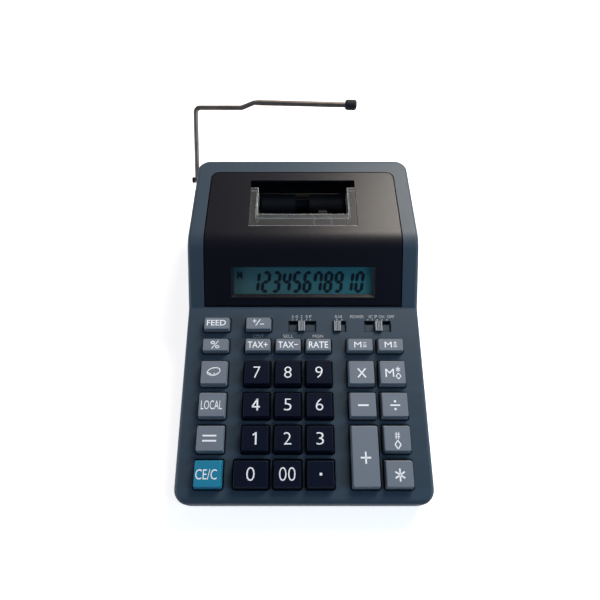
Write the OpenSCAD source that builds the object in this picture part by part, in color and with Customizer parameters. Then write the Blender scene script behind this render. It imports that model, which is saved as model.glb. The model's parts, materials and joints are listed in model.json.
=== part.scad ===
// Desktop printing calculator with a hinged printer cover and a wire arm for a paper roll.
// Millimetres, +Z up, table at z = 0. In the modules y runs to the rear from the front edge of the case.

/* [Case] */
// Width of the case
body_w = 147; // [142:1:165]
// Length of the case from front to rear
body_l = 221.5; // [215:0.5:240]
// Height of the deck at its front edge
deck_front_z = 19; // [18:0.5:24]
// Slope of the key deck
deck_angle = 8; // [6:0.5:10]
// Distance from the rear row of keys to the crease below the display
deck_rear = 11.55; // [10.5:0.05:14]
// Slope of the display face
display_angle = 33; // [31:1:36]
// Height of the top face at the rear edge
rear_z = 55.2; // [54:0.2:62]
// Fall of the top face towards the rear
top_fall = 3; // [2:0.5:5]
// Radius of the bend between the display face and the top face
bend_r = 20; // [16:1:30]
// Radius of the crease between the deck and the display face
crease_r = 3; // [1:0.5:4]
// Radius of the upright corners
corner_r = 8.5; // [6:0.5:12]
// Rounding along the top edge
edge_r = 2.6; // [1.5:0.1:3.5]
// Wall of the upper case
wall = 2.4; // [2:0.1:2.6]
// Wall of the lower case
low_wall = 2.2; // [1.6:0.1:2.8]
// Height of the joint between the two halves of the case
split_z = 14; // [13:0.5:16]
// Height of the underside of the case above the table
foot_h = 2; // [1:0.25:4]
// Radius of a rubber foot
foot_r = 5.5; // [4:0.25:7]

/* [Cover] */
// Width of the printer cover
cover_w = 125; // [116:1:128]
// Thickness of the printer cover
cover_t = 2.2; // [1.8:0.1:2.4]
// Distance from the rear edge of the cover to the rear edge of the case
cover_back = 12.6; // [11:0.1:14]
// Seam around the cover
cover_gap = 0.7; // [0.4:0.05:0.9]
// Radius of the rounded hinge edge
hinge_r = 1.3; // [1.2:0.05:1.5]
// Radius of the hinge pins
pin_r = 0.8; // [0.6:0.05:0.9]
// Running clearance of a pin in its hole
run_gap = 0.08; // [0.04:0.01:0.1]
// Width of the display opening
window_w = 88.4; // [70:0.2:94]
// Height of the display opening along the slope
window_l = 17.2; // [14:0.2:19]
// Distance from the crease to the display opening
window_start = 8.9; // [7.5:0.1:9.5]
// Width of the paper opening
exit_w = 71; // [66:0.5:76]
// Distance from the crest of the bend to the paper opening
exit_front = 10.6; // [8:0.1:12]
// Distance from the rear edge of the case to the paper opening
exit_back = 19.9; // [19:0.1:22]

/* [Keys] */
// Distance between key columns inside a group
col_pitch = 18.6; // [18.2:0.1:19.2]
// Distance between the left column and the digit columns
left_pitch = 26; // [24.5:0.1:26.5]
// Distance between the digit columns and the sum columns
sums_pitch = 25.6; // [24.5:0.1:26.5]
// Position of the middle digit column
digits_x = -9.4; // [-10:0.1:-8]
// Distance between key rows
row_pitch = 18.95; // [18.6:0.05:19.2]
// Position of the first row along the deck
first_row = 16.2; // [15.5:0.1:17]
// Step from the top full row to the lower row of small keys
small_step = 16.9; // [16:0.1:17.5]
// Step between the two rows of small keys
small_pitch = 13.65; // [13.3:0.05:14.2]
// Height of the key tops above the deck
key_h = 5; // [3.5:0.25:7]
// Width of a key top
key_w = 14.9; // [13:0.1:15.2]
// Length of a key top
key_l = 13.6; // [12:0.1:14]
// Length of a small key top
small_l = 7.4; // [6.5:0.1:7.8]
// Extra width of the zero key
zero_extra = 4.2; // [2:0.1:5]
// How far the zero key is set to the left
zero_shift = 1.9; // [1.2:0.1:2.2]
// Slant of the key sides
side_slant = 0.5; // [0.4:0.1:0.9]
// Slant of the key fronts
front_slant = 1.4; // [1:0.1:2.4]
// Slant of the small key fronts
small_slant = 0.7; // [0.5:0.1:1.2]
// Slant of the key backs
rear_slant = 0.5; // [0.2:0.1:0.8]
// Gap between a key and its hole
key_gap = 0.7; // [0.5:0.05:0.8]
// How far a key goes down
key_travel = 2.5; // [1.5:0.1:2.8]

/* [Paper arm] */
// Diameter of the wire
wire_d = 3.2; // [2.6:0.1:3.4]
// Length of the arm
arm_len = 50; // [44:1:60]
// Slope of the arm at rest
arm_angle = 34; // [20:1:45]
// Bend radius of the wire
wire_bend = 3.2; // [2.5:0.1:5]
// Distance between the arm pivot and the rear edge of the case
arm_back = 9.3; // [9:0.1:16]
// Distance between the arm pivot and the top of the rear edge
arm_drop = 10.2; // [9:0.1:12]
// Length of the bar that carries the paper roll
roll_w = 64; // [60:1:70]
// Step in the bar beside the roll
jog = 3.5; // [2:0.5:6]
// How far the bar droops towards its free end, in degrees
roll_droop = 1.3; // [0.5:0.1:2]
// Thickness of the sleeve on the bar
sleeve_t = 0.25; // [0.1:0.05:0.4]

/* [Printer] */
// Distance from the rear edge of the case to the axis of the type wheel
print_back = 39; // [38.5:0.25:40]
// Height of the axis of the type wheel
type_z = 38; // [37:0.5:39]
// Radius of the type wheel
type_r = 6.5; // [5.5:0.1:7]
// Radius of the ink roller
ink_r = 5; // [4:0.1:5.5]
// Radius of the paper feed roller
feed_r = 7; // [5.5:0.1:7.2]
// Radius of the rods and of the feed shaft
rod_r = 1.5; // [1.2:0.1:1.8]
// Position of the carriage at rest
carriage_x = 14; // [-20:1:20]
// Radius of the motor
motor_r = 7; // [5:0.25:7.5]
// Length of the motor
motor_l = 24; // [16:1:30]
// Gear module
gear_m = 0.8; // [0.7:0.05:0.85]
// Teeth of the gear on the feed shaft
gear_teeth = 36; // [34:1:36]
// Teeth of the motor pinion
pinion_teeth = 12; // [12:1:14]

/* [Hidden] */
$fn = 48;
crease_steps = 3;
bend_steps = 10;
edge_steps = 5;
run_r = rod_r + run_gap;
top_row = first_row + 3 * row_pitch;
rear_row = top_row + small_step + small_pitch;
deck_len = (rear_row + deck_rear) * cos(deck_angle);

function dirv(a) = [cos(a), sin(a)];
function nrm(a) = [-sin(a), cos(a)];
function back(list) = [for (i = [len(list) - 1:-1:0]) list[i]];
function deck_z(y, d) = deck_front_z + y * tan(deck_angle) - d / cos(deck_angle);
function top_z(y, d) = rear_z + (body_l - y) * tan(top_fall) - d / cos(top_fall);

crease = [deck_len, deck_z(deck_len, 0)];
bend_along = (top_z(deck_len, 0) - crease[1])
    / (sin(display_angle) + cos(display_angle) * tan(top_fall));
bend = crease + bend_along * dirv(display_angle);
crease_c = crease + crease_r * nrm(deck_angle)
    - crease_r * tan((display_angle - deck_angle) / 2) * dirv(deck_angle);
bend_c = bend - bend_r * nrm(display_angle)
    - bend_r * tan((display_angle + top_fall) / 2) * dirv(display_angle);

// Side view of the case: the crease, the bend and a point of the display face, each d below the surface
function crease_arc(d) = [
    for (i = [0:crease_steps])
        let (a = deck_angle + (display_angle - deck_angle) * i / crease_steps)
            crease_c - (crease_r + d) * nrm(a)
];
function bend_arc(d) = [
    for (i = [0:bend_steps])
        let (a = display_angle - (display_angle + top_fall) * i / bend_steps)
            bend_c + (bend_r - d) * nrm(a)
];
function face_pt(along, d) = crease + along * dirv(display_angle) - d * nrm(display_angle);

// Stations of the case shape, inset d: [y, height, distance from the end]
function stations(d) =
    let (r = corner_r - d)
    concat(
        [for (a = [6:12:90])
            let (e = r * (1 - cos(a))) [d + e, deck_z(d + e, d), e]],
        [for (p = crease_arc(d)) [p[0], p[1], r]],
        [for (p = bend_arc(d)) [p[0], p[1], r]],
        [for (a = [90:-12:6])
            let (e = r * (1 - cos(a))) [body_l - d - e, top_z(body_l - d - e, d), e]]
    );

// Right half of the section at a station, from the wall up to the flat top
function half_section(s, d, fillet) =
    let (
        r = corner_r - d,
        e = s[2],
        most = e < fillet ? acos(1 - e / fillet) : 90
    )
    [for (k = [0:edge_steps])
        let (
            a = most * k / edge_steps,
            in = fillet * (1 - cos(a)),
            across = e < r ? sqrt(max(0, pow(r - in, 2) - pow(r - e, 2))) : r - in
        )
        [body_w / 2 - corner_r + across, s[1] - fillet + fillet * sin(a)]];

function ring_faces(rings, m) = concat(
    [[for (j = [m - 1:-1:0]) j]],
    [for (i = [0:rings - 2], j = [0:m - 1])
        let (n = (j + 1) % m) [i * m + j, i * m + n, (i + 1) * m + n]],
    [for (i = [0:rings - 2], j = [0:m - 1])
        let (n = (j + 1) % m) [i * m + j, (i + 1) * m + n, (i + 1) * m + j]],
    [[for (j = [0:m - 1]) (rings - 1) * m + j]]
);

// The case shape as a solid, inset d all round and cut off flat at z_low
module case_shape(d, fillet, z_low) {
    list = stations(d);
    m = 2 * edge_steps + 4;
    points = [
        for (s = list)
            let (h = half_section(s, d, fillet))
            for (p = concat([[h[0][0], z_low]], h, [for (q = back(h)) [-q[0], q[1]]], [[-h[0][0], z_low]]))
                [p[0], s[0], p[1]]
    ];
    polyhedron(points, ring_faces(len(list), m));
}

// Outline of a rounded rectangle
function round_rect(w, l, r, n) = [
    for (c = [0:3], i = [0:n])
        let (a = 90 * c + 90 * i / n, sx = c == 0 || c == 3 ? 1 : -1, sy = c < 2 ? 1 : -1)
            [sx * (w / 2 - r) + r * cos(a), sy * (l / 2 - r) + r * sin(a)]
];

// A solid through stacked rounded rectangles: [width, length, radius, shift along y, height]
module stack(levels, n) {
    m = 4 * (n + 1);
    points = [
        for (v = levels, p = round_rect(v[0], v[1], v[2], n)) [p[0], p[1] + v[3], v[4]]
    ];
    polyhedron(points, [for (f = ring_faces(len(levels), m)) back(f)]);
}

// Extrusion of a side view across the width
module across(w) {
    rotate([90, 0, 90]) linear_extrude(height = w, center = true) children();
}
module rod_x(r, x0, x1, y, z) {
    translate([x0, y, z]) rotate([0, 90, 0]) cylinder(r = r, h = x1 - x0);
}
module block(x0, x1, y0, y1, z0, z1) {
    translate([x0, y0, z0]) cube([x1 - x0, y1 - y0, z1 - z0]);
}

// Layer of the case between two depths: from y0 on the deck, or from the display face on
module skin(d0, d1, y0, y1, w) {
    across(w) polygon(concat(
        [[y0, deck_z(y0, d0)]], crease_arc(d0), bend_arc(d0), [[y1, top_z(y1, d0)]],
        [[y1, top_z(y1, d1)]], back(bend_arc(d1)), back(crease_arc(d1)), [[y0, deck_z(y0, d1)]]
    ));
}
module face_skin(d0, d1, along, y1, w) {
    across(w) polygon(concat(
        [face_pt(along, d0)], bend_arc(d0), [[y1, top_z(y1, d0)]],
        [[y1, top_z(y1, d1)]], back(bend_arc(d1)), [face_pt(along, d1)]
    ));
}

// Frames: on the deck from its front edge, and on the display face from the crease
module on_deck() {
    translate([0, 0, deck_front_z]) rotate([deck_angle, 0, 0]) children();
}
module on_face() {
    translate([0, crease[0], crease[1]]) rotate([display_angle, 0, 0]) children();
}

// Case
floor_z = foot_h + low_wall;
seat_d = cover_t + 2.4;
cover_end = body_l - cover_back;
hinge_along = 2.2;
hinge = face_pt(hinge_along, hinge_r);
exit_end = body_l - exit_back;
exit_start = bend[0] + exit_front;
lens_t = 1;
lens_d = cover_t + lens_t;
lcd_top = lens_d + 0.4;
lcd_low = lcd_top + 2.4;
shelf_t = 1.8;
shelf_along = bend_along - bend_r * tan((display_angle + top_fall) / 2) - 0.3;
post_x = body_w / 2 - 6;
post_y = [12, deck_len - 3.5, body_l - 30];
post_r = 3.2;
post_z = split_z - 2;
screw_r = 1.4;
screw_end = post_z + 4;
arm_y = body_l - arm_back;
arm_z = rear_z - arm_drop;
wire_r = wire_d / 2;
bush_r = wire_r + 1.75;
frame_x = 37;
jack_x = frame_x + 11;
jack_z = floor_z + 4.2;
inlet_z = 31;
inlet_h = 6;
inlet_w = 62;

// Deck and keys: depths are measured down from the deck
flange_top = wall + 0.2;
flange_low = flange_top + 1.2;
key_catch = 0.35;
key_corner = 0.8;
stem_low = flange_low + 1.4;
mat_top = stem_low + key_travel + 0.9;
board_top = mat_top + 1;
board_low = board_top + 1.6;
col = [
    digits_x - col_pitch - left_pitch, digits_x - col_pitch, digits_x, digits_x + col_pitch,
    digits_x + col_pitch + sums_pitch, digits_x + 2 * col_pitch + sums_pitch
];
row = [
    rear_row, top_row + small_step, top_row,
    top_row - row_pitch, top_row - 2 * row_pitch, first_row
];
tall_l = key_l + row_pitch;
zero_x = col[1] - zero_shift;
board_posts = [
    [(col[0] + col[1]) / 2, (row[3] + row[4]) / 2], [(col[3] + col[4]) / 2, (row[3] + row[4]) / 2],
    [(col[0] + col[1]) / 2, (row[1] + row[2]) / 2], [(col[3] + col[4]) / 2, (row[1] + row[2]) / 2]
];

// Each key: name, centre of its top on the deck, width and length of its top, colour
dark = "#14181d";
grey = "#5b6166";
teal = "#2f6f74";
KEYS = [
    ["key_feed", col[0], row[0], key_w, small_l, grey],
    ["key_sign", col[1], row[0], key_w, small_l, grey],
    ["key_percent", col[0], row[1], key_w, small_l, grey],
    ["key_tax_plus", col[1], row[1], key_w, small_l, grey],
    ["key_tax_minus", col[2], row[1], key_w, small_l, grey],
    ["key_rate", col[3], row[1], key_w, small_l, grey],
    ["key_memory_minus", col[4], row[1], key_w, small_l, grey],
    ["key_memory_plus", col[5], row[1], key_w, small_l, grey],
    ["key_backspace", col[0], row[2], key_w, key_l, grey],
    ["key_7", col[1], row[2], key_w, key_l, dark],
    ["key_8", col[2], row[2], key_w, key_l, dark],
    ["key_9", col[3], row[2], key_w, key_l, dark],
    ["key_multiply", col[4], row[2], key_w, key_l, grey],
    ["key_memory_total", col[5], row[2], key_w, key_l, grey],
    ["key_local", col[0], row[3], key_w, key_l, grey],
    ["key_4", col[1], row[3], key_w, key_l, dark],
    ["key_5", col[2], row[3], key_w, key_l, dark],
    ["key_6", col[3], row[3], key_w, key_l, dark],
    ["key_minus", col[4], row[3], key_w, key_l, grey],
    ["key_divide", col[5], row[3], key_w, key_l, grey],
    ["key_equals", col[0], row[4], key_w, key_l, grey],
    ["key_1", col[1], row[4], key_w, key_l, dark],
    ["key_2", col[2], row[4], key_w, key_l, dark],
    ["key_3", col[3], row[4], key_w, key_l, dark],
    ["key_plus", col[4], (row[4] + row[5]) / 2, key_w, tall_l, grey],
    ["key_subtotal", col[5], row[4], key_w, key_l, grey],
    ["key_clear", col[0], row[5], key_w, key_l, teal],
    ["key_0", zero_x, row[5], key_w + zero_extra, key_l, dark],
    ["key_00", col[2], row[5], key_w, key_l, dark],
    ["key_point", col[3], row[5], key_w, key_l, dark],
    ["key_total", col[5], row[5], key_w, key_l, grey]
];
function front_of(k) = k[4] == small_l ? small_slant : front_slant;
function shift_of(k) = (front_of(k) - rear_slant) / 2;
function base_w(k) = k[3] + 2 * side_slant;
function base_l(k) = k[4] + front_of(k) + rear_slant;

// Slide switches: name, left and right end of the recess, knob at rest
knob_w = 4.1;
knob_l = 6.4;
slot_l = 7.2;
slot_s = row[0] - 0.65;
slot_deep = 1.3;
SLIDES = [
    ["decimal_knob", -9.4, 8.3, -0.95],
    ["rounding_knob", 18.5, 27.2, 21.45],
    ["mode_knob", 38.5, 55.4, 47.5]
];

// Printer
type_y = body_l - print_back;
ink_a = 170;
ink_y = type_y + (type_r + ink_r + 0.3) * cos(ink_a);
ink_z = type_z + (type_r + ink_r + 0.3) * sin(ink_a);
feed_y = type_y + type_r + feed_r + 1.5;
feed_z = 36;
gear_away = gear_m * (gear_teeth + pinion_teeth) / 2;
gear_dir = -68.5;
motor_y = feed_y + gear_away * cos(gear_dir);
motor_z = feed_z + gear_away * sin(gear_dir);
frame_t = 1.6;
plate_x = frame_x - frame_t;
gear_x = frame_x + 1.2;
gear_w = 3;
rod_z = 27;
rod_y = [type_y - 10.5, type_y + 0.5];
bay_w = 60;
bay_l = 60;
bay_y = type_y - bay_l - 4;
bay_top = floor_z + 15;
bay_wall = 1.4;
door_lip = 1.8;
door_t = 1.3;
door_gap = 0.3;

// Plan of the cover, grown by g
module cover_plan(g) {
    y0 = hinge[0] - 20;
    y1 = cover_end + g;
    w = cover_w + 2 * g;
    translate([0, (y0 + y1) / 2, 0]) linear_extrude(height = 100)
        polygon(round_rect(w, y1 - y0, 5 + g, 6));
}
module case_posts() {
    for (sx = [-1, 1]) {
        for (i = [0:1]) translate([sx * post_x, post_y[i], post_z])
            cylinder(r = post_r, h = deck_z(post_y[i] - post_r, wall / 2) - post_z);
        translate([sx * post_x, post_y[2], post_z])
            cylinder(r = post_r, h = top_z(post_y[2] + post_r, wall / 2) - post_z);
    }
}

module upper_case() {
    color("#6f7f90") difference() {
        union() {
            difference() {
                case_shape(0, edge_r, split_z);
                case_shape(wall, 0.8, split_z - 5);
            }
            intersection() {
                skin(wall - 0.4, seat_d, crease[0] - 4, cover_end + 3, cover_w + 6);
                cover_plan(3);
            }
            intersection() {
                skin(lcd_low, lcd_low + shelf_t, crease[0] - 3, body_l - 30, body_w - wall);
                block(-body_w, body_w, 0, face_pt(shelf_along, lcd_low)[0], 0, 100);
            }
            case_posts();
            on_deck() for (p = board_posts)
                translate([p[0], p[1], -board_top]) cylinder(r = 2.6, h = board_top - wall / 2);
        }
        intersection() {
            face_skin(-3, cover_t + 0.1, hinge_along, body_l, body_w);
            cover_plan(cover_gap);
        }
        intersection() {
            face_skin(-3, seat_d + 0.5, hinge_along + 1, body_l, body_w);
            cover_plan(-3);
        }
        rod_x(hinge_r + cover_gap, -cover_w / 2 - cover_gap, cover_w / 2 + cover_gap, hinge[0], hinge[1]);
        rod_x(pin_r + run_gap, -cover_w / 2 - 3, cover_w / 2 + 3, hinge[0], hinge[1]);
        on_deck() for (k = KEYS) translate([k[1], k[2] - shift_of(k), -wall - 1])
            linear_extrude(height = wall + 4)
                polygon(round_rect(
                    base_w(k) + 2 * key_gap, base_l(k) + 2 * key_gap, key_corner + key_gap, 3
                ));
        on_deck() for (s = SLIDES) {
            block(s[1], s[2], slot_s - slot_l / 2, slot_s + slot_l / 2, -slot_deep, 3);
            block(s[1] + 0.8, s[2] - 0.8, slot_s + 1.3, slot_s + 3.3, -wall - 1, 0);
        }
        on_deck() for (p = board_posts)
            translate([p[0], p[1], -board_top - 1]) cylinder(r = screw_r + 0.05, h = 6);
        for (sx = [-1, 1], y = post_y)
            translate([sx * post_x, y, post_z - 1])
                cylinder(r = screw_r + 0.05, h = screw_end - post_z + 1.5);
        block(-inlet_w / 2, inlet_w / 2, body_l - wall - 2, body_l + 2, split_z - 1, inlet_z + inlet_h);
        rod_x(bush_r + 0.05, -body_w / 2 - 1, -body_w / 2 + wall + 1, arm_y, arm_z);
        rod_x(bush_r + 1.1, -body_w / 2 + wall, -body_w / 2 + 10, arm_y, arm_z);
    }
}

module lower_case() {
    color("#66758a") difference() {
        union() {
            difference() {
                translate([0, body_l / 2, 0]) stack([
                    [body_w - 5, body_l - 5, corner_r - 2.5, 0, foot_h],
                    [body_w - 1.4, body_l - 1.4, corner_r - 0.7, 0, foot_h + 2],
                    [body_w, body_l, corner_r, 0, foot_h + 5],
                    [body_w, body_l, corner_r, 0, split_z]
                ], 8);
                translate([0, body_l / 2, 0]) stack([
                    [body_w - 2 * low_wall, body_l - 2 * low_wall, corner_r - low_wall, 0, floor_z],
                    [body_w - 2 * low_wall, body_l - 2 * low_wall, corner_r - low_wall, 0, split_z + 1]
                ], 8);
            }
            block(-bay_w / 2 - bay_wall, bay_w / 2 + bay_wall, bay_y - bay_wall, bay_y + bay_l + bay_wall,
                foot_h + 0.5, bay_top + bay_wall);
            for (sx = [-1, 1], y = post_y)
                translate([sx * post_x, y, floor_z - 1]) cylinder(r = 4.2, h = post_z - floor_z + 1);
            block(0.3 - inlet_w / 2, inlet_w / 2 - 0.3, body_l - low_wall, body_l, split_z - 2, inlet_z);
        }
        block(-bay_w / 2, bay_w / 2, bay_y, bay_y + bay_l, foot_h - 1, bay_top);
        block(-bay_w / 2 - door_lip, bay_w / 2 + door_lip, bay_y - door_lip, bay_y + bay_l + door_lip,
            foot_h - 1, foot_h + door_t + 0.1);
        for (sx = [-1, 1], y = post_y) translate([sx * post_x, y, foot_h - 1]) {
            cylinder(r = screw_r + 0.2, h = 20);
            cylinder(r = 3, h = 4);
        }
        for (sx = [-1, 1], y = [18, body_l - 18])
            translate([sx * (body_w / 2 - 18.5), y, foot_h - 1]) cylinder(r = foot_r + 0.1, h = 1.6);
        translate([jack_x, body_l + 1, jack_z]) rotate([90, 0, 0]) cylinder(r = 3.1, h = low_wall + 3);
    }
}

module printer_cover() {
    color("#15181c") difference() {
        union() {
            intersection() {
                face_skin(0, cover_t, hinge_along, body_l, cover_w);
                cover_plan(0);
            }
            rod_x(hinge_r, -cover_w / 2, cover_w / 2, hinge[0], hinge[1]);
            rod_x(pin_r, -cover_w / 2 - 2.2, cover_w / 2 + 2.2, hinge[0], hinge[1]);
        }
        on_face() window_cut();
        block(-exit_w / 2, exit_w / 2, exit_start, exit_end, 0, 100);
    }
}

// The display opening widens towards its front, mostly at the lower edge
module window_cut() {
    a = window_w / 2;
    y0 = window_start;
    y1 = window_start + window_l;
    low = -cover_t - 0.2;
    polyhedron([
        [-a, y0, low], [a, y0, low], [a, y1, low], [-a, y1, low],
        [-a - 1.8, y0 - 2.2, 0.2], [a + 1.8, y0 - 2.2, 0.2],
        [a + 1.8, y1 + 0.5, 0.2], [-a - 1.8, y1 + 0.5, 0.2]
    ], [[0, 1, 2, 3], [7, 6, 5, 4], [4, 5, 1, 0], [5, 6, 2, 1], [6, 7, 3, 2], [7, 4, 0, 3]]);
}

module display_window() {
    a = window_w / 2 + 3;
    color("#2a3a40") on_face()
        block(-a, a, window_start - 3, window_start + window_l + 3, -lens_d, -cover_t);
}

module lcd_panel() {
    a = window_w / 2 + 4.5;
    y0 = window_start - 2.5;
    y1 = window_start + window_l + 3.5;
    color("#5f7a78") on_face() {
        block(-a, a, y0, y1, -lcd_low, -lcd_low + 1.2);
        block(-a, a, y0, y1 - 3, -lcd_low + 1.2, -lcd_top);
    }
}

// Clear paper cutter: a strip with a toothed rear edge and two arms, flush in the paper opening
bar_l = 9.2;
bar_end = exit_start + 0.4 + bar_l;
guide_in = exit_w / 2 - 5.5;
guide_end = exit_end - 7;
tooth = 1.25;
module tear_bar() {
    n = floor(2 * guide_in / tooth);
    x0 = -n * tooth / 2;
    color("#c9d6dc") {
        intersection() {
            face_skin(0.1, cover_t + 0.6, hinge_along, body_l, exit_w - 0.4);
            linear_extrude(height = 100) difference() {
                translate([-exit_w / 2, exit_start + 0.2]) square([exit_w, guide_end - exit_start]);
                translate([0, bar_end]) polygon(concat(
                    [[-guide_in, 60], [-guide_in, 0]],
                    [for (i = [0:n - 1], p = [[0, 0], [0.5, 0.9]]) [x0 + (i + p[0]) * tooth, p[1]]],
                    [[-x0, 0], [guide_in, 0], [guide_in, 60]]
                ));
            }
        }
        intersection() {
            face_skin(cover_t, cover_t + 1.2, hinge_along, body_l, exit_w + 4);
            linear_extrude(height = 100) difference() {
                translate([-exit_w / 2 - 2, exit_start - 2])
                    square([exit_w + 4, guide_end - exit_start + 2]);
                translate([-guide_in, bar_end - 1]) square([2 * guide_in, 60]);
            }
        }
        for (sx = [-1, 1]) intersection() {
            face_skin(cover_t + 1, 9, hinge_along, body_l, exit_w);
            translate([sx * (guide_in + 0.6), 0, 0]) block(-0.6, 0.6, bar_end, guide_end, 0, 100);
        }
    }
}

module battery_door() {
    w = bay_w + 2 * door_lip - 2 * door_gap;
    l = bay_l + 2 * door_lip - 2 * door_gap;
    y = bay_y + bay_l / 2;
    color("#66758a") difference() {
        block(-w / 2, w / 2, y - l / 2, y + l / 2, foot_h, foot_h + door_t);
        for (i = [0:4]) translate([0, y - l / 2 + 5 + 2.4 * i, 0])
            block(-9, 9, 0, 1.2, foot_h - 1, foot_h + 0.4);
    }
}

module rubber_feet() {
    color("#222222") for (sx = [-1, 1], y = [18, body_l - 18])
        translate([sx * (body_w / 2 - 18.5), y, 0]) cylinder(r = foot_r, h = foot_h + 0.6);
}

module screw(shank) {
    difference() {
        union() {
            translate([0, 0, -1.8]) cylinder(r = 2.6, h = 1.8);
            cylinder(r = screw_r, h = shank);
        }
        for (a = [0, 90]) rotate(a) translate([-1.5, -0.3, -3]) cube([3, 0.6, 2.2]);
    }
}
module case_screws() {
    color("#b8bcc0") {
        for (sx = [-1, 1], y = post_y)
            translate([sx * post_x, y, foot_h + 3]) screw(screw_end - foot_h - 3);
        on_deck() for (p = board_posts) translate([p[0], p[1], -board_low]) screw(6);
    }
}

// Wire in one plane with rounded bends, which are a hair thicker than the straight pieces that end in them
module wire_piece(a, b) {
    v = b - a;
    translate([a[0], a[1], 0]) rotate([0, 0, atan2(v[1], v[0])]) rotate([0, 90, 0])
        cylinder(r = wire_r, h = norm(v));
}
module wire_bent(path) {
    n = len(path);
    heading = [for (i = [0:n - 2]) atan2(path[i + 1][1] - path[i][1], path[i + 1][0] - path[i][0])];
    turn = [for (i = [1:n - 2]) heading[i] - heading[i - 1]];
    trim = concat([0], [for (t = turn) wire_bend * tan(abs(t) / 2)], [0]);
    lap = concat([0], [for (t = turn) 0.3], [0]);
    for (i = [0:n - 2]) wire_piece(
        path[i] + (trim[i] - lap[i]) * dirv(heading[i]),
        path[i + 1] - (trim[i + 1] - lap[i + 1]) * dirv(heading[i])
    );
    for (i = [1:n - 2]) {
        t = turn[i - 1];
        side = t > 0 ? 1 : -1;
        start = path[i] - trim[i] * dirv(heading[i - 1]);
        c = start + side * wire_bend * nrm(heading[i - 1]);
        first = t > 0 ? heading[i - 1] - 90 : heading[i - 1] + 90 + t;
        translate([c[0], c[1], 0]) rotate([0, 0, first])
            rotate_extrude(angle = abs(t)) translate([wire_bend, 0]) circle(r = wire_r + 0.03);
    }
}
arm_x = -body_w / 2 - wire_r - 0.5;
roll_start = -33;
bar_start = [roll_start - 1, arm_len + jog];
reach_l = roll_w + 3.5;
tip_at = roll_w + 0.2;
module on_arm() {
    translate([0, arm_y, arm_z]) rotate([arm_angle, 0, 0]) children();
}
module on_bar() {
    on_arm() translate([bar_start[0], bar_start[1], 0]) rotate([0, 0, -roll_droop]) children();
}
module paper_arm() {
    color("#b9b2a8") {
        on_arm() wire_bent([
            [arm_x, 0], [arm_x, arm_len], [roll_start - 10, arm_len],
            bar_start, bar_start + reach_l * dirv(-roll_droop)
        ]);
        on_bar() rod_x(wire_r + sleeve_t, 1.6, tip_at, 0, 0);
        rod_x(wire_r + 0.4, arm_x - wire_r - 0.15, arm_x + wire_r + 0.15, arm_y, arm_z);
        rod_x(wire_r, arm_x - wire_r - 1, -body_w / 2 + 6, arm_y, arm_z);
    }
}

// Black ends of the wire: a thick one that stops the roll and a small one outside the pivot
module cap_turned(r, l, deep, edge) {
    quarter = [for (i = [0:4]) 22.5 * i];
    rotate([0, 90, 0]) rotate_extrude() polygon(concat(
        [[wire_r + 0.04, 0]],
        [for (a = quarter) [r - edge + edge * sin(a), edge - edge * cos(a)]],
        [for (a = quarter) [r - edge + edge * cos(a), l - edge + edge * sin(a)]],
        [[0, l], [0, deep], [wire_r + 0.04, deep]]
    ));
}
module arm_caps() {
    color("#16181a") {
        on_bar() translate([tip_at, 0, 0]) cap_turned(wire_r + 1.95, 8.2, reach_l - tip_at + 0.1, 1.8);
        translate([arm_x - wire_r - 0.2, arm_y, arm_z]) mirror([1, 0, 0])
            cap_turned(wire_r + 0.5, 1.6, 0.9, 0.4);
    }
}

module arm_bush() {
    wall_in = -body_w / 2 + wall;
    color("#202326") difference() {
        union() {
            rod_x(bush_r, -body_w / 2 + 0.1, -body_w / 2 + 6.4, arm_y, arm_z);
            rod_x(bush_r + 0.9, wall_in, wall_in + 1.2, arm_y, arm_z);
        }
        rod_x(wire_r + run_gap, -body_w / 2 - 1, -body_w / 2 + 8, arm_y, arm_z);
    }
}

// Electronics
board_end = deck_len - 3.5;
module main_board() {
    color("#2f6b46") on_deck() difference() {
        block(-body_w / 2 + 10.6, body_w / 2 - 10.6, 7, board_end, -board_low, -board_top);
        for (p = board_posts) translate([p[0], p[1], -board_low - 1]) cylinder(r = screw_r + 0.2, h = 4);
    }
}

module key_mat() {
    color("#b7b9b4") on_deck() difference() {
        union() {
            block(-body_w / 2 + 11, body_w / 2 - 11, 8, slot_s - 5.5, -board_top, -mat_top);
            block(-body_w / 2 + 11, -15, slot_s - 6, board_end - 1, -board_top, -mat_top);
            for (k = KEYS) translate([k[1], k[2] - shift_of(k), -mat_top - 0.2])
                cylinder(r1 = 4, r2 = 2.6, h = mat_top - stem_low + 0.15);
        }
        for (p = board_posts) translate([p[0], p[1], -board_top - 1]) cylinder(r = 3, h = 4);
    }
}

module slide_switches() {
    color("#9aa0a4") on_deck() for (s = SLIDES)
        block(s[1] - 1, s[2] + 1, slot_s - 3, slot_s + 3, -board_top, -flange_low - 0.2);
}

module dc_jack() {
    y1 = body_l - low_wall;
    color("#1b1c1e") difference() {
        union() {
            block(jack_x - 4.5, jack_x + 4.5, y1 - 13, y1, floor_z, floor_z + 8.4);
            translate([jack_x, body_l - 0.3, jack_z]) rotate([90, 0, 0]) cylinder(r = 3, h = low_wall + 1);
        }
        translate([jack_x, body_l + 1, jack_z]) rotate([90, 0, 0]) cylinder(r = 1.8, h = 12.3);
    }
}

module battery_contacts() {
    z0 = floor_z + 3;
    color("#c9c4b0") for (sx = [-1, 1], i = [0:3]) {
        y = bay_y + bay_l / 8 + i * bay_l / 4;
        x = sx * (bay_w / 2 - 0.25);
        block(x - 0.25, x + 0.25, y - 5, y + 5, z0, z0 + 9);
    }
}

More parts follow.
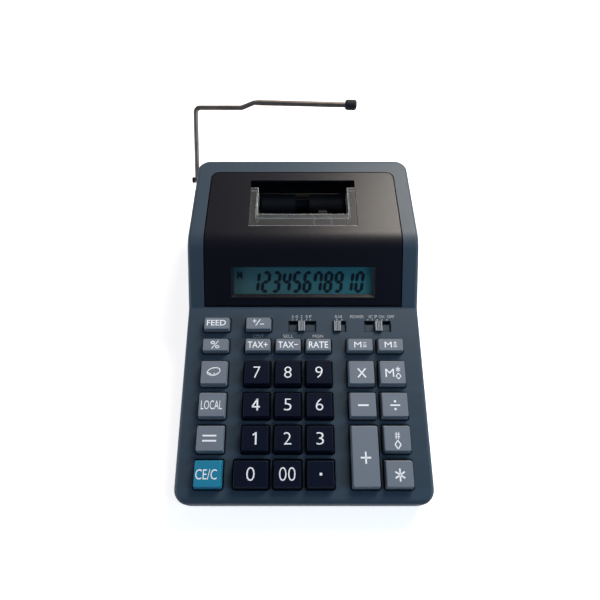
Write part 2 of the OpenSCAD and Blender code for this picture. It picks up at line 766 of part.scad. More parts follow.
// Printer
function flank(r, rb) = let (t = sqrt(max(0, pow(r / rb, 2) - 1))) t * 180 / PI - atan(t);
module gear_plan(teeth) {
    rp = gear_m * teeth / 2;
    rb = rp * cos(20);
    ra = rp + 0.8 * gear_m;
    rr = rp - 1.25 * gear_m;
    half = 90 / teeth - 3.2 / rp + flank(rp, rb);
    steps = [for (i = [0:4]) max(rb, rr) + (ra - max(rb, rr)) * i / 4];
    polygon([
        for (i = [0:teeth - 1])
            let (c = 360 * i / teeth)
            for (p = concat(
                [[rr, -half]], [for (r = steps) [r, flank(r, rb) - half]],
                [for (r = back(steps)) [r, half - flank(r, rb)]], [[rr, half]]
            )) p[0] * dirv(c + p[1])
    ]);
}
module gear_on(x0, y, z, teeth, turned) {
    translate([x0 + gear_w / 2, y, z]) across(gear_w) rotate(turned) gear_plan(teeth);
}

module printer_frame() {
    y1 = feed_y + 18;
    guide_z = inlet_z + inlet_h + 0.4;
    color("#26292c") difference() {
        union() {
            for (sx = [-1, 1]) translate([sx * (frame_x - frame_t / 2), 0, 0]) across(frame_t)
                polygon([
                    [type_y, floor_z], [y1, floor_z], [y1, 46], [type_y - 9, 46],
                    [type_y - 18, 38], [type_y - 18, rod_z - 4.5], [type_y, rod_z - 4.5]
                ]);
            block(-frame_x, frame_x, type_y, y1, floor_z, floor_z + 1.8);
            block(-frame_x, frame_x, y1 - 12, y1, inlet_z - 3.6, inlet_z - 2.2);
            block(-frame_x, frame_x, y1 - 9, body_l - wall - 0.3, guide_z, guide_z + 1.4);
        }
        for (y = rod_y) rod_x(rod_r + 0.05, -50, 50, y, rod_z);
        rod_x(run_r, -50, 50, feed_y, feed_z);
        rod_x(1.4, -50, -20, motor_y, motor_z);
    }
}

module guide_rods() {
    color("#c2c5c8") for (y = rod_y) rod_x(rod_r, -frame_x - 0.6, frame_x + 0.6, y, rod_z);
}

ear_in = 5.2;
ear_t = 1.6;
axle_r = 1.2;
module print_carriage() {
    color("#25282b") difference() {
        translate([carriage_x, 0, 0]) union() {
            block(-8, 8, type_y - 14, type_y + 5, rod_z - 3.8, rod_z + 3);
            for (sx = [-1, 1]) translate([sx * (ear_in + ear_t / 2), 0, 0]) across(ear_t)
                polygon([
                    [type_y - 14, rod_z], [type_y + 4, rod_z], [type_y + 3, type_z + 3],
                    [ink_y, ink_z + 3], [ink_y - 3, ink_z + 2]
                ]);
        }
        for (y = rod_y) rod_x(run_r, -60, 60, y, rod_z);
        rod_x(axle_r + run_gap, -60, 60, type_y, type_z);
        rod_x(axle_r + run_gap, -60, 60, ink_y, ink_z);
    }
}

module type_wheel() {
    color("#3a3d40") difference() {
        union() {
            rod_x(type_r, carriage_x - 3, carriage_x + 3, type_y, type_z);
            rod_x(3, carriage_x - 4.9, carriage_x + 4.9, type_y, type_z);
            rod_x(axle_r, carriage_x - 7.2, carriage_x + 7.2, type_y, type_z);
        }
        for (i = [0:12]) translate([0, type_y, type_z]) rotate([i * 360 / 13, 0, 0])
            block(carriage_x - 4, carriage_x + 4, type_r - 0.5, type_r + 1, -0.4, 0.4);
    }
}

module ink_roller() {
    color("#2b2350") {
        rod_x(ink_r, carriage_x - 4, carriage_x + 4, ink_y, ink_z);
        rod_x(axle_r, carriage_x - 7.2, carriage_x + 7.2, ink_y, ink_z);
    }
}

module feed_roller() {
    color("#303336") {
        rod_x(rod_r, -gear_x - gear_w, frame_x + 1, feed_y, feed_z);
        rod_x(3.5, -plate_x + 0.4, plate_x - 0.4, feed_y, feed_z);
        for (sx = [-1, 1]) rod_x(feed_r, sx * 17 - 12, sx * 17 + 12, feed_y, feed_z);
    }
}

module feed_gear() {
    color("#d8d2c0") difference() {
        union() {
            gear_on(-gear_x - gear_w, feed_y, feed_z, gear_teeth, gear_dir);
            rod_x(4, -gear_x - gear_w, -frame_x - 0.4, feed_y, feed_z);
        }
        rod_x(rod_r + 0.02, -60, 0, feed_y, feed_z);
    }
}

module print_motor() {
    color("#a9adb1") difference() {
        rod_x(motor_r, -plate_x, -plate_x + motor_l, motor_y, motor_z);
        rod_x(1 + run_gap, -plate_x - 1, -plate_x + 8, motor_y, motor_z);
    }
}

module motor_pinion() {
    color("#d8d2c0") {
        gear_on(-gear_x - gear_w, motor_y, motor_z, pinion_teeth, gear_dir + 180 + 180 / pinion_teeth);
        rod_x(1, -gear_x - gear_w - 0.6, -plate_x + 7, motor_y, motor_z);
    }
}

// Controls
module slide_knob(s) {
    color("#23272c") on_deck() translate([s[3], slot_s, 0]) difference() {
        union() {
            block(-knob_w / 2, knob_w / 2, -knob_l / 2, knob_l / 2, -slot_deep + 0.1, 2);
            block(-1, 1, 1.5, 3.1, -flange_top, 0);
            block(-2.4, 2.4, 0.1, 4.5, -flange_low, -flange_top);
        }
        for (x = [-1, 0, 1]) block(x - 0.2, x + 0.2, -knob_l / 2 - 1, knob_l / 2 + 1, 1.6, 3);
    }
}

module key(k) {
    w = base_w(k);
    l = base_l(k);
    back_by = shift_of(k);
    catch = key_gap + key_catch;
    color(k[5]) on_deck() translate([k[1], k[2] - shift_of(k), 0]) {
        stack([
            [w, l, key_corner, 0, -flange_top],
            [w, l, key_corner, 0, 0.4],
            [k[3], k[4], key_corner, back_by, key_h - 0.45],
            [k[3] - 0.2, k[4] - 0.2, key_corner - 0.1, back_by, key_h - 0.12],
            [k[3] - 0.6, k[4] - 0.6, key_corner - 0.2, back_by, key_h]
        ], 3);
        block(-w / 2, w / 2, -l / 2 - catch, l / 2 + catch, -flange_low, -flange_top);
        block(-2.5, 2.5, -2.5, 2.5, -stem_low, -flange_low);
    }
}

translate([0, -body_l / 2, 0]) {
    upper_case();
    lower_case();
    printer_cover();
    display_window();
    tear_bar();
    battery_door();
    rubber_feet();
    case_screws();
    paper_arm();
    arm_caps();
    arm_bush();
    main_board();
    key_mat();
    lcd_panel();
    slide_switches();
    dc_jack();
    battery_contacts();
    printer_frame();
    guide_rods();
    print_carriage();
    type_wheel();
    ink_roller();
    feed_roller();
    feed_gear();
    print_motor();
    motor_pinion();
    for (s = SLIDES) slide_knob(s);
    for (k = KEYS) key(k);
}
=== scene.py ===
import json
import math

import bmesh
import bpy
from mathutils import Matrix, Vector


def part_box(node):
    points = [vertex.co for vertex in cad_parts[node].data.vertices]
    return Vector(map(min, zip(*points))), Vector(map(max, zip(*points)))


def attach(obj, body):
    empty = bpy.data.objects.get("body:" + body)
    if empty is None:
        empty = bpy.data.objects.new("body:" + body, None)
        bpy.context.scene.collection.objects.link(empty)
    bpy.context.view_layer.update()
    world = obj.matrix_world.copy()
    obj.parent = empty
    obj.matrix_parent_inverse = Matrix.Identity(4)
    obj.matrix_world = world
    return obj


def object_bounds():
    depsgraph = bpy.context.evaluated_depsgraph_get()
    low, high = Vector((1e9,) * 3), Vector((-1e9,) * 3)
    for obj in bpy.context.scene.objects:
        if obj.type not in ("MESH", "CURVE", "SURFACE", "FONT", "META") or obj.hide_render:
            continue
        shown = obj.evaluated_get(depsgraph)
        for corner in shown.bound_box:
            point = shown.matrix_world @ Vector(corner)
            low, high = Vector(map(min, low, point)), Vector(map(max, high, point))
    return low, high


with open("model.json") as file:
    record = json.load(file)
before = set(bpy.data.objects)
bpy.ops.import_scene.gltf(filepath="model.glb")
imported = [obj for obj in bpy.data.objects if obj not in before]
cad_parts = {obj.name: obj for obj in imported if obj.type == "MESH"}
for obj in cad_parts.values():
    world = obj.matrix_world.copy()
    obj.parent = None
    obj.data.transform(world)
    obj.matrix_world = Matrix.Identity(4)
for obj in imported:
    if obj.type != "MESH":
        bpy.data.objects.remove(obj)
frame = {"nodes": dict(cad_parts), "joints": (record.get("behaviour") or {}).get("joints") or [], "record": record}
cad_low, cad_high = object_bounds()
nodes = frame["nodes"]
slots = {part["node"]: part["material_slot"] for part in frame["record"]["subparts"]}
scene = bpy.context.scene
MM = 0.001

# The deck is square to the travel of the keys, and the display face is flat along the display's glass
press = next(Vector(joint["axis"]) for joint in frame["joints"] if joint["name"] == "key_5_press")
glass = max((p for p in nodes["lcd_panel"].data.polygons if p.normal.z > 0), key=lambda p: p.area)
deck = Matrix.Rotation(math.atan2(press.y, -press.z), 4, "X")
face = Matrix.Rotation(math.atan2(-glass.normal.y, glass.normal.z), 4, "X")

# Print lies this far above its surface, and the key tops this far above the deck
PRINT_LIFT = 0.03
KEY_HEIGHT = 5.0

# Painted shade: surfaces darken where another one is nearer than this, and faster with a larger depth
GAP_REACH = 1.5
GAP_DEPTH = 2.5


def top_plane(node, turn):
    """Axes at the middle of a node's top face, where that face is turned about X."""
    back = turn.inverted()
    points = [back @ v.co for v in nodes[node].data.vertices]
    high = max(p.z for p in points)
    rim = [p for p in points if p.z > high - 0.01 * MM]
    x = (min(p.x for p in rim) + max(p.x for p in rim)) / 2
    y = (min(p.y for p in rim) + max(p.y for p in rim)) / 2
    return turn @ Matrix.Translation((x, y, high))


# Materials, with the fineness of the patterns in them
GRAIN = 900.0
STREAKS = 160.0
HAZE = 60.0
MOTTLE = 22.0
CLEAR_IOR = 1.45


def new_material(name):
    material = bpy.data.materials.new(name)
    material.use_nodes = True
    tree = material.node_tree
    tree.nodes.clear()
    out = tree.nodes.new("ShaderNodeOutputMaterial")
    shader = tree.nodes.new("ShaderNodeBsdfPrincipled")
    tree.links.new(shader.outputs["BSDF"], out.inputs["Surface"])
    return material, tree, shader, out


def noise(tree, scale, detail=2.0):
    """Noise that is fixed to the object, from 0 to 1."""
    coord = tree.nodes.new("ShaderNodeTexCoord")
    node = tree.nodes.new("ShaderNodeTexNoise")
    node.inputs["Scale"].default_value = scale
    node.inputs["Detail"].default_value = detail
    tree.links.new(coord.outputs["Object"], node.inputs["Vector"])
    return node.outputs["Fac"]


def between(tree, factor, low, high):
    """A value from low to high, as the factor goes from 0 to 1."""
    node = tree.nodes.new("ShaderNodeMapRange")
    node.inputs["To Min"].default_value = low
    node.inputs["To Max"].default_value = high
    tree.links.new(factor, node.inputs["Value"])
    return node.outputs["Result"]


def blend(tree, factor, first, second):
    """A colour from the first to the second, as the factor goes from 0 to 1."""
    node = tree.nodes.new("ShaderNodeMix")
    node.data_type = "RGBA"
    node.inputs["A"].default_value = (*first, 1)
    node.inputs["B"].default_value = (*second, 1)
    tree.links.new(factor, node.inputs["Factor"])
    return node.outputs["Result"]


def combine(tree, operation, first, second):
    """Two sockets or numbers, put together by a math node."""
    node = tree.nodes.new("ShaderNodeMath")
    node.operation = operation
    for socket, value in zip(node.inputs, (first, second)):
        if isinstance(value, float):
            socket.default_value = value
        else:
            tree.links.new(value, socket)
    return node.outputs["Value"]


def paint_gap_shade(tree, colour):
    """The colour, with painted shade where another surface is near."""
    near = tree.nodes.new("ShaderNodeAmbientOcclusion")
    near.samples = 8
    near.inputs["Distance"].default_value = GAP_REACH * MM
    depth = combine(tree, "POWER", near.outputs["AO"], GAP_DEPTH)
    mix = tree.nodes.new("ShaderNodeMix")
    mix.data_type = "RGBA"
    mix.blend_type = "MULTIPLY"
    mix.inputs["Factor"].default_value = 1.0
    tree.links.new(colour, mix.inputs["A"])
    tree.links.new(depth, mix.inputs["B"])
    return mix.outputs["Result"]


def plastic(name, colour, second, rough, bump=0.0, shine=0.5, gap_shade=True):
    """Moulded plastic: a slow mottle between two close colours, a fine grain in its gloss, and painted shade in
    its gaps unless that is turned off.
    """
    material, tree, shader, _ = new_material(name)
    grain = noise(tree, GRAIN)
    mottle = blend(tree, noise(tree, MOTTLE, 3.0), colour, second)
    # Painted shade darkens the colour in gaps, where another surface is near.
    tree.links.new(paint_gap_shade(tree, mottle) if gap_shade else mottle, shader.inputs["Base Color"])
    tree.links.new(between(tree, grain, 0.75 * rough, 1.25 * rough), shader.inputs["Roughness"])
    shader.inputs["Specular IOR Level"].default_value = shine
    if bump:
        height = tree.nodes.new("ShaderNodeBump")
        height.inputs["Strength"].default_value = bump
        height.inputs["Distance"].default_value = 0.1 * MM
        tree.links.new(grain, height.inputs["Height"])
        tree.links.new(height.outputs["Normal"], shader.inputs["Normal"])
    return material


def metal(name, colour, second, rough, rim=(1, 1, 1)):
    """Bare or plated metal, with streaks in its colour and gloss, and the tint that its rim reflects."""
    material, tree, shader, _ = new_material(name)
    streak = noise(tree, STREAKS, 4.0)
    tree.links.new(blend(tree, streak, colour, second), shader.inputs["Base Color"])
    tree.links.new(between(tree, streak, 0.7 * rough, 1.4 * rough), shader.inputs["Roughness"])
    shader.inputs["Metallic"].default_value = 1.0
    shader.inputs["Specular Tint"].default_value = (*rim, 1)
    return material


def clear(name, tint, rough, see):
    """Clear plastic: mostly transparent, with a glossy skin on its outer side, stronger at grazing angles."""
    material, tree, shader, out = new_material(name)
    haze = noise(tree, HAZE)
    tree.links.new(between(tree, haze, 0.6 * rough, 1.5 * rough), shader.inputs["Roughness"])
    shader.inputs["Base Color"].default_value = (*tint, 1)
    through = tree.nodes.new("ShaderNodeBsdfTransparent")
    through.inputs["Color"].default_value = (0.93, 0.95, 0.95, 1)
    grazing = tree.nodes.new("ShaderNodeFresnel")
    grazing.inputs["IOR"].default_value = CLEAR_IOR
    side = tree.nodes.new("ShaderNodeNewGeometry")
    outer = combine(tree, "SUBTRACT", 1.0, side.outputs["Backfacing"])
    skin = combine(tree, "MULTIPLY", between(tree, grazing.outputs["Fac"], 1.0 - see, 1.0), outer)
    mix = tree.nodes.new("ShaderNodeMixShader")
    tree.links.new(skin, mix.inputs["Fac"])
    tree.links.new(through.outputs["BSDF"], mix.inputs[1])
    tree.links.new(shader.outputs["BSDF"], mix.inputs[2])
    tree.links.new(mix.outputs["Shader"], out.inputs["Surface"])
    return material


def display_glass_painted_light(name, left, right, rough):
    """Display glass whose colour drifts from its left end to its right end, as painted light: greyer at the left,
    bluer and brighter at the right.
    """
    material, tree, shader, _ = new_material(name)
    low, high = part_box("lcd_panel")
    coord = tree.nodes.new("ShaderNodeTexCoord")
    split = tree.nodes.new("ShaderNodeSeparateXYZ")
    tree.links.new(coord.outputs["Object"], split.inputs["Vector"])
    span = tree.nodes.new("ShaderNodeMapRange")
    span.inputs["From Min"].default_value = low.x
    span.inputs["From Max"].default_value = high.x
    tree.links.new(split.outputs["X"], span.inputs["Value"])
    tree.links.new(blend(tree, span.outputs["Result"], left, right), shader.inputs["Base Color"])
    shader.inputs["Roughness"].default_value = rough
    return material


MATERIALS = {
    "case_plastic": plastic(
        "case plastic", (0.0295, 0.0475, 0.068), (0.034, 0.054, 0.0765), 0.5, bump=0.12, shine=0.28
    ),
    "base_plastic": plastic(
        "base plastic", (0.019, 0.034, 0.053), (0.023, 0.040, 0.060), 0.55, bump=0.12, shine=0.35
    ),
    "cover_plastic": plastic(
        "cover plastic", (0.0030, 0.0026, 0.0062), (0.0042, 0.0037, 0.0078), 0.38, bump=0.04, shine=0.26
    ),
    "lens": clear("display lens", (0.01, 0.012, 0.013), 0.06, 0.96),
    "clear_plastic": clear("clear plastic", (0.18, 0.18, 0.18), 0.34, 0.80),
    "rubber": plastic("black rubber", (0.010, 0.0095, 0.012), (0.015, 0.014, 0.017), 0.7, shine=0.25),
    "steel": metal("steel", (0.30, 0.30, 0.31), (0.40, 0.40, 0.41), 0.35),
    "wire": metal("plated wire", (0.16, 0.135, 0.12), (0.24, 0.205, 0.185), 0.45, (0.35, 0.32, 0.30)),
    "black_plastic": plastic("black plastic", (0.005, 0.005, 0.007), (0.008, 0.008, 0.010), 0.5, shine=0.25),
    "circuit_board": plastic("circuit board", (0.012, 0.085, 0.030), (0.018, 0.11, 0.045), 0.35),
    "mat_rubber": plastic("mat rubber", (0.30, 0.30, 0.27), (0.36, 0.36, 0.33), 0.7),
    # Painted light: the display glass is greyer at its left end and bluer and brighter at its right end.
    "lcd": display_glass_painted_light("display glass", (0.082, 0.145, 0.147), (0.050, 0.225, 0.255), 0.3),
    "switch_plastic": plastic("switch plastic", (0.20, 0.21, 0.22), (0.24, 0.25, 0.26), 0.45),
    "ink_felt": plastic("ink felt", (0.006, 0.004, 0.020), (0.010, 0.007, 0.030), 0.9, shine=0.1),
    "gear_plastic": plastic("gear plastic", (0.56, 0.52, 0.40), (0.62, 0.58, 0.46), 0.4),
    "key_dark": plastic("dark key", (0.0020, 0.0040, 0.0130), (0.0028, 0.0052, 0.0160), 0.42, shine=0.2),
    "key_grey": plastic("grey key", (0.145, 0.165, 0.195), (0.165, 0.187, 0.219), 0.5, shine=0.35),
    "key_teal": plastic("teal key", (0.012, 0.180, 0.290), (0.017, 0.205, 0.325), 0.45, shine=0.35),
}
# Painted highlight: a pale, opaque colour on the bevelled edges of the clear tear bar, in place of glints of
# light.
PAINTED_GLINT = plastic("clear plastic edge", (0.66, 0.67, 0.68), (0.84, 0.85, 0.86), 0.3)
KNOB = plastic("knob plastic", (0.26, 0.28, 0.31), (0.30, 0.32, 0.35), 0.45)
WHITE = plastic("white print", (0.80, 0.80, 0.82), (0.88, 0.88, 0.90), 0.5, gap_shade=False)
FAINT = plastic("faint print", (0.34, 0.35, 0.37), (0.42, 0.43, 0.45), 0.6, gap_shade=False)
DIGIT = plastic("display digit", (0.003, 0.008, 0.014), (0.004, 0.010, 0.017), 0.4, gap_shade=False)


# Soft edges and smooth shading, as modifiers on the construction's own solids
def shade_by_angle(limit):
    """A node group that shades smooth, apart from edges sharper than the limit."""
    group = bpy.data.node_groups.new("smooth by angle", "GeometryNodeTree")
    group.interface.new_socket("Geometry", in_out="INPUT", socket_type="NodeSocketGeometry")
    group.interface.new_socket("Geometry", in_out="OUTPUT", socket_type="NodeSocketGeometry")
    start = group.nodes.new("NodeGroupInput")
    end = group.nodes.new("NodeGroupOutput")
    faces = group.nodes.new("GeometryNodeSetShadeSmooth")
    faces.domain = "FACE"
    edges = group.nodes.new("GeometryNodeSetShadeSmooth")
    edges.domain = "EDGE"
    edges.inputs["Shade Smooth"].default_value = False
    angle = group.nodes.new("GeometryNodeInputMeshEdgeAngle")
    sharp = group.nodes.new("FunctionNodeCompare")
    sharp.data_type = "FLOAT"
    sharp.operation = "GREATER_THAN"
    sharp.inputs[1].default_value = limit
    group.links.new(start.outputs[0], faces.inputs["Geometry"])
    group.links.new(faces.outputs["Geometry"], edges.inputs["Geometry"])
    group.links.new(angle.outputs["Unsigned Angle"], sharp.inputs[0])
    group.links.new(sharp.outputs["Result"], edges.inputs["Selection"])
    group.links.new(edges.outputs["Geometry"], end.inputs[0])
    return group


SMOOTH = shade_by_angle(math.radians(32))
SOFT_ANGLE = math.radians(40)
WELD_REACH = 0.002
EDGE_WIDTH = 0.12
WIDE_EDGES = {"upper_case": 0.25, "tear_bar": 0.28}


def dress(obj, material, edge_width, glint_material=None):
    obj.data.materials.clear()
    obj.data.materials.append(material)
    if glint_material:
        obj.data.materials.append(glint_material)
    weld = obj.modifiers.new("weld", "WELD")
    weld.merge_threshold = WELD_REACH * MM
    bevel = obj.modifiers.new("bevel", "BEVEL")
    bevel.width = edge_width * MM
    bevel.segments = 2
    bevel.limit_method = "ANGLE"
    bevel.angle_limit = SOFT_ANGLE
    bevel.use_clamp_overlap = True
    bevel.material = 1 if glint_material else -1
    shading = obj.modifiers.new("smooth", "NODES")
    shading.node_group = SMOOTH
    flat = obj.modifiers.new("flat faces", "WEIGHTED_NORMAL")
    flat.keep_sharp = True


for name, obj in nodes.items():
    material = KNOB if name.endswith("_knob") else MATERIALS[slots[name]]
    # The tear bar's bevelled edges get a painted highlight.
    glint_material = PAINTED_GLINT if name == "tear_bar" else None
    dress(obj, material, WIDE_EDGES.get(name, EDGE_WIDTH), glint_material)


# Printed shapes: closed outlines in mm on a plane of the object
def bar(x, y, w, h):
    return [(x - w / 2, y - h / 2), (x + w / 2, y - h / 2), (x + w / 2, y + h / 2), (x - w / 2, y + h / 2)]


def stroke(x0, y0, x1, y1, thick):
    side = Vector((y1 - y0, x0 - x1)).normalized() * (thick / 2)
    ends = [(x0, y0, 1), (x1, y1, 1), (x1, y1, -1), (x0, y0, -1)]
    return [(x + sign * side.x, y + sign * side.y) for x, y, sign in ends]


def arc(x, y, rx, ry, thick, start, end, tilt=0, steps=28):
    """An arc of a tilted ellipse, from one angle in degrees to another, as short strokes that meet."""
    turn = Matrix.Rotation(math.radians(tilt), 2)
    centre = Vector((x, y))
    angles = [math.radians(start + (end - start) * i / steps) for i in range(steps + 1)]
    rims = [
        [centre + turn @ Vector(((rx + grow) * math.cos(a), (ry + grow) * math.sin(a))) for a in angles]
        for grow in (-thick / 2, thick / 2)
    ]
    return [[rims[0][i], rims[1][i], rims[1][i + 1], rims[0][i + 1]] for i in range(steps)]


def diamond(x, y, rx, ry, thick):
    corners = [(x, y + ry), (x + rx, y), (x, y - ry), (x - rx, y)]
    return [stroke(*corners[i - 1], *corners[i], thick) for i in range(4)]


def star(x, y, rx, ry, thick):
    """Three strokes that cross in the middle."""
    arms = [(rx * math.cos(a), ry * math.sin(a)) for a in map(math.radians, (30, 90, 150))]
    return [stroke(x + u, y + v, x - u, y - v, thick) for u, v in arms]


def add_piece(name, mesh, plane, material, body):
    mesh.transform(plane)
    mesh.materials.clear()
    mesh.materials.append(material)
    obj = bpy.data.objects.new(name, mesh)
    scene.collection.objects.link(obj)
    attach(obj, body)


def print_shapes(name, outlines, plane, material, body):
    bm = bmesh.new()
    for outline in outlines:
        bm.faces.new([bm.verts.new((x * MM, y * MM, PRINT_LIFT * MM)) for x, y in outline])
    mesh = bpy.data.meshes.new(name)
    bm.to_mesh(mesh)
    bm.free()
    add_piece(name, mesh, plane, material, body)


def print_word(name, text, size, at, plane, material, body, thin=0.0):
    """A word in the built-in font, fitted to a width and height in mm, with its middle at a point."""
    curve = bpy.data.curves.new(name, "FONT")
    curve.body = text
    curve.offset = -thin
    curve.resolution_u = 3
    holder = bpy.data.objects.new(name, curve)
    scene.collection.objects.link(holder)
    depsgraph = bpy.context.evaluated_depsgraph_get()
    mesh = bpy.data.meshes.new_from_object(holder.evaluated_get(depsgraph))
    bpy.data.objects.remove(holder)
    bpy.data.curves.remove(curve)
    low = [min(v.co[i] for v in mesh.vertices) for i in (0, 1)]
    span = [max(v.co[i] for v in mesh.vertices) - low[i] for i in (0, 1)]
    for v in mesh.vertices:
        x, y = (at[i] + ((v.co[i] - low[i]) / span[i] - 0.5) * size[i] for i in (0, 1))
        v.co = (x * MM, y * MM, PRINT_LIFT * MM)
    mesh.name = name
    add_piece(name, mesh, plane, material, body)


# Legends on the keys, about the middle of each key's top
def legend(key, text, w, h, at=(0, 0), thin=0.0):
    print_word(key + "_legend", text, (w, h), at, top_plane(key, deck), WHITE, key, thin)


def marks(key, outlines):
    print_shapes(key + "_marks", outlines, top_plane(key, deck), WHITE, key)


THIN = 0.012
DIGIT_H = 6.8
ZERO_H = 7.2
STROKE = 0.85
for digit, width in (("2", 4.4), ("3", 4.3), ("5", 4.4), ("6", 4.4), ("7", 4.2), ("8", 4.5), ("9", 4.4)):
    legend("key_" + digit, digit, width, DIGIT_H, thin=THIN)
legend("key_0", "0", 4.7, ZERO_H, thin=THIN)
legend("key_00", "00", 9.2, ZERO_H, thin=THIN)
marks("key_1", [bar(0.5, 0, 1.0, DIGIT_H), stroke(-1.3, 1.8, 0.35, 3.0, STROKE)])
marks("key_4", [
    stroke(-2.2, -1.3, 0.9, 3.2, STROKE),
    bar(0.05, -1.3, 4.7, STROKE),
    bar(0.85, 0, 0.95, DIGIT_H),
])
marks("key_point", [bar(0.1, -0.1, 1.4, 1.4)])

legend("key_feed", "FEED", 11.8, 3.6, (0, 0.3), thin=-THIN)
legend("key_percent", "%", 5.6, 4.8)
legend("key_tax_plus", "TAX+", 12.2, 4.0, thin=-THIN)
legend("key_tax_minus", "TAX−", 12.2, 4.0, thin=-THIN)
legend("key_rate", "RATE", 11.8, 4.0, thin=-THIN)
legend("key_local", "LOCAL", 12.4, 5.2, (0.1, -0.2))
legend("key_clear", "CE/C", 12.0, 5.4, (-0.6, -0.2))
legend("key_memory_minus", "M", 4.4, 3.6, (-1.6, 0))
legend("key_memory_plus", "M", 4.4, 3.6, (-1.6, 0))
legend("key_memory_total", "M", 5.2, 4.9, (-1.9, -0.4))

marks("key_sign", [
    bar(-2.3, 1.4, 2.4, 0.55),
    bar(-2.3, 1.4, 0.55, 2.4),
    stroke(-1.5, -1.5, 1.2, 2.5, 0.55),
    bar(2.3, -0.6, 2.6, 0.55),
])
loop = arc(0.1, 0.5, 3.9, 2.1, 0.6, 0, 360, tilt=14) + arc(0.3, 0.3, 3.6, 2.2, 0.6, 200, 340, tilt=14)
tail = [stroke(-3.4, -0.1, -0.9, -1.5, 0.6), stroke(0.5, -0.4, 0.7, -1.6, 0.6)]
marks("key_backspace", loop + tail)
beside_m = [bar(2.6, 1.1, 2.1, 0.4), bar(2.6, -0.3, 2.2, 0.4), bar(2.6, -1.3, 2.2, 0.4)]
marks("key_memory_minus", beside_m)
marks("key_memory_plus", beside_m + [bar(2.6, 1.1, 0.4, 2.0)])
marks("key_memory_total", diamond(3.2, -2.3, 1.5, 1.8, 0.55) + star(3.2, 1.7, 1.5, 1.6, 0.5))
marks("key_multiply", [stroke(-2.35, -3.1, 2.35, 2.3, STROKE), stroke(-2.35, 2.3, 2.35, -3.1, STROKE)])
marks("key_divide", [bar(0, -0.4, 5.8, STROKE), bar(0, 1.8, 1.3, 1.2), bar(0, -2.6, 1.3, 1.2)])
marks("key_minus", [bar(0, -0.4, 6.2, 1.0)])
marks("key_plus", [bar(0, -0.9, 5.9, 1.0), bar(0, -0.9, 1.0, 6.5)])
marks("key_equals", [bar(0, 1.5, 8.0, 0.95), bar(0, -1.3, 8.0, 0.95)])
marks("key_total", star(0, -0.5, 3.1, 3.4, 0.9))
hash_sign = [
    bar(0, 0.9, 2.9, 0.5),
    bar(0, 2.3, 2.9, 0.5),
    stroke(-0.9, -0.5, -0.5, 3.5, 0.5),
    stroke(0.5, -0.5, 0.9, 3.5, 0.5),
]
marks("key_subtotal", diamond(0, -3.4, 1.7, 2.4, 0.7) + hash_sign)

# Small captions and ticks on the deck, placed from the middle of the rear row of keys
feed_top = top_plane("key_feed", deck)
rear_row = feed_top @ Matrix.Translation((-feed_top.translation.x, 0, -KEY_HEIGHT * MM))
CAPTION_H = 2.0
SWITCH_Y = 5.7
TICK_Y = 3.7
COLUMN_Y = 6.6


def caption(text, width, at, plane):
    name = "caption_" + text.replace("/", "_")
    print_word(name, text, (width, CAPTION_H), at, plane, FAINT, "case")


for text, key in (("COST", "key_tax_plus"), ("SELL", "key_tax_minus"), ("MGN", "key_rate")):
    caption(text, 6.5, (0, COLUMN_Y), top_plane(key, deck) @ Matrix.Translation((0, 0, -KEY_HEIGHT * MM)))
for text, x, width in (
    ("A", -6.6, 1.5), ("0", -4.0, 1.4), ("2", -1.0, 1.4), ("3", 2.1, 1.4), ("F", 4.6, 1.4),
    ("5/4", 22.4, 4.6),
    ("POWER", 34.2, 8.6), ("IC", 43.0, 2.4), ("P", 46.2, 1.5), ("ON", 49.8, 3.4), ("OFF", 55.6, 4.6),
):
    caption(text, width, (x, SWITCH_Y), rear_row)
tick_places = (-6.6, -4.0, -1.0, 2.1, 4.6, 21.4, 24.6, 41.0, 44.0, 47.0, 50.0, 53.0)
ticks = [bar(x, TICK_Y, 0.6, 0.7) for x in tick_places]
print_shapes("caption_ticks", ticks, rear_row, FAINT, "case")

# Digits of the display: slanted seven-segment figures on the glass
SEGMENTS = {
    "0": "abcdef", "1": "bc", "2": "abged", "3": "abgcd", "4": "fgbc", "5": "afgcd",
    "6": "afgedc", "7": "abcf", "8": "abcdefg", "9": "abcdfg",
}
ENDS = {
    "a": ((-1, 1), (1, 1)), "b": ((1, 1), (1, 0)), "c": ((1, 0), (1, -1)), "d": ((-1, -1), (1, -1)),
    "e": ((-1, 0), (-1, -1)), "f": ((-1, 1), (-1, 0)), "g": ((-1, 0), (1, 0)),
}
FIGURE_W = 3.8
FIGURE_H = 11.9
FIGURE_PITCH = 6.69
FIRST_X = -30.6
SEGMENT_T = 2.1
SEGMENT_GAP = 0.1
LEAN = 0.12
BOLD = 0.04


def segment(name, x):
    """A six-sided segment of the figure whose middle is at x."""
    start, end = (Vector((u * FIGURE_W / 2, v * FIGURE_H / 2)) for u, v in ENDS[name])
    along = (end - start).normalized()
    side = Vector((-along.y, along.x)) * SEGMENT_T / 2
    tips = [start + along * SEGMENT_GAP, end - along * SEGMENT_GAP]
    inner = [tips[0] + along * SEGMENT_T / 2, tips[1] - along * SEGMENT_T / 2]
    outline = [tips[0], inner[0] + side, inner[1] + side, tips[1], inner[1] - side, inner[0] - side]
    return [(x + p.x + LEAN * p.y, p.y) for p in outline]


glass_top = top_plane("lcd_panel", face)
figures = [
    segment(name, FIRST_X + FIGURE_PITCH * i)
    for i, digit in enumerate("12345678910")
    for name in SEGMENTS[digit]
]
print_shapes("display_digits", figures, glass_top, DIGIT, "case")
print_word("display_memory_mark", "M", (3.4, 4.6), (-40.7, 4.5), glass_top, DIGIT, "case", -BOLD)

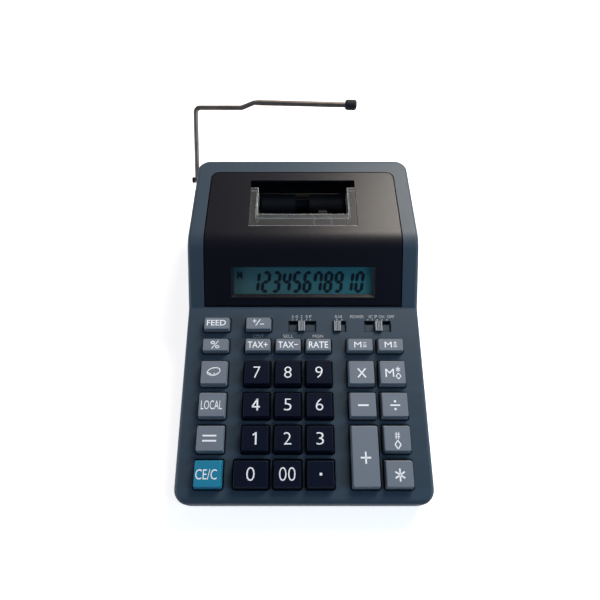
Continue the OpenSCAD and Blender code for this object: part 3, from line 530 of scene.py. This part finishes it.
# Floor: a pale table that keeps the object's shadow
FLOOR_GLOW = 0.72
FLOOR_REACH = 3
corners = [(x * FLOOR_REACH, y * FLOOR_REACH, 0) for x, y in ((-1, -1), (1, -1), (1, 1), (-1, 1))]
floor_mesh = bpy.data.meshes.new("floor")
floor_mesh.from_pydata(corners, [], [(0, 1, 2, 3)])
floor = bpy.data.objects.new("floor", floor_mesh)
scene.collection.objects.link(floor)
floor_material, floor_tree, floor_shader, _ = new_material("floor")
floor_shader.inputs["Base Color"].default_value = (0.82, 0.82, 0.82, 1)
floor_shader.inputs["Roughness"].default_value = 0.9
floor_shader.inputs["Emission Color"].default_value = (1, 0.96, 0.93, 1)
ray = floor_tree.nodes.new("ShaderNodeLightPath").outputs
mirrored = combine(floor_tree, "MAXIMUM", ray["Is Glossy Ray"], ray["Is Transmission Ray"])
seen = combine(floor_tree, "MAXIMUM", ray["Is Camera Ray"], mirrored)
glow = combine(floor_tree, "MULTIPLY", seen, FLOOR_GLOW)
floor_tree.links.new(glow, floor_shader.inputs["Emission Strength"])
floor_mesh.materials.append(floor_material)

# The room is pale behind the object, and dim and bluish in front of it
ROOM_FRONT = (0.035, 0.055, 0.10)
ROOM_REAR = (0.31, 0.30, 0.29)
world = bpy.data.worlds.new("studio")
scene.world = world
world.use_nodes = True
room = world.node_tree
direction = room.nodes.new("ShaderNodeTexCoord")
split = room.nodes.new("ShaderNodeSeparateXYZ")
room.links.new(direction.outputs["Generated"], split.inputs["Vector"])
level = room.nodes.new("ShaderNodeMapRange")
level.interpolation_type = "SMOOTHSTEP"
level.inputs["From Min"].default_value = -0.15
level.inputs["From Max"].default_value = 0.75
room.links.new(split.outputs["Y"], level.inputs["Value"])
shade = blend(room, level.outputs["Result"], ROOM_FRONT, ROOM_REAR)
room.links.new(shade, room.nodes["Background"].inputs["Color"])


AIM = Vector((0, 0.02, 0.03))


def softbox(name, place, size, power, colour):
    """A square lamp, aimed at the object."""
    lamp = bpy.data.lights.new(name, "AREA")
    lamp.size = size
    lamp.energy = power
    lamp.color = colour
    obj = bpy.data.objects.new(name, lamp)
    scene.collection.objects.link(obj)
    obj.location = place
    aim = AIM - Vector(place)
    obj.rotation_euler = aim.to_track_quat("-Z", "Y").to_euler()


softbox("rear right", (0.30, 0.46, 0.52), 0.36, 7.4, (1.0, 0.93, 0.84))
softbox("left", (-0.90, -0.20, 0.35), 0.4, 4.0, (0.72, 0.86, 1.0))
softbox("right", (0.88, -0.28, 0.45), 0.5, 5.0, (0.40, 0.72, 1.0))

# Camera: above a point just before the front edge, tilted down towards the keys
CAMERA_SIDE = -4.7
CAMERA_BEFORE = 14.4
CAMERA_HEIGHT = 292.9
CAMERA_TILT = math.radians(27.5)
IMAGE_WIDTH = 600
SHIFT_PIXELS = 4.25
lens = bpy.data.cameras.new("camera")
lens.sensor_width = 36
lens.lens = 27
lens.shift_x = SHIFT_PIXELS / IMAGE_WIDTH
lens.clip_start = 0.01
camera = bpy.data.objects.new("camera", lens)
scene.collection.objects.link(camera)
camera.location = (CAMERA_SIDE * MM, cad_low.y - CAMERA_BEFORE * MM, CAMERA_HEIGHT * MM)
camera.rotation_euler = (CAMERA_TILT, 0, 0)
scene.camera = camera
scene.view_settings.view_transform = "Standard"
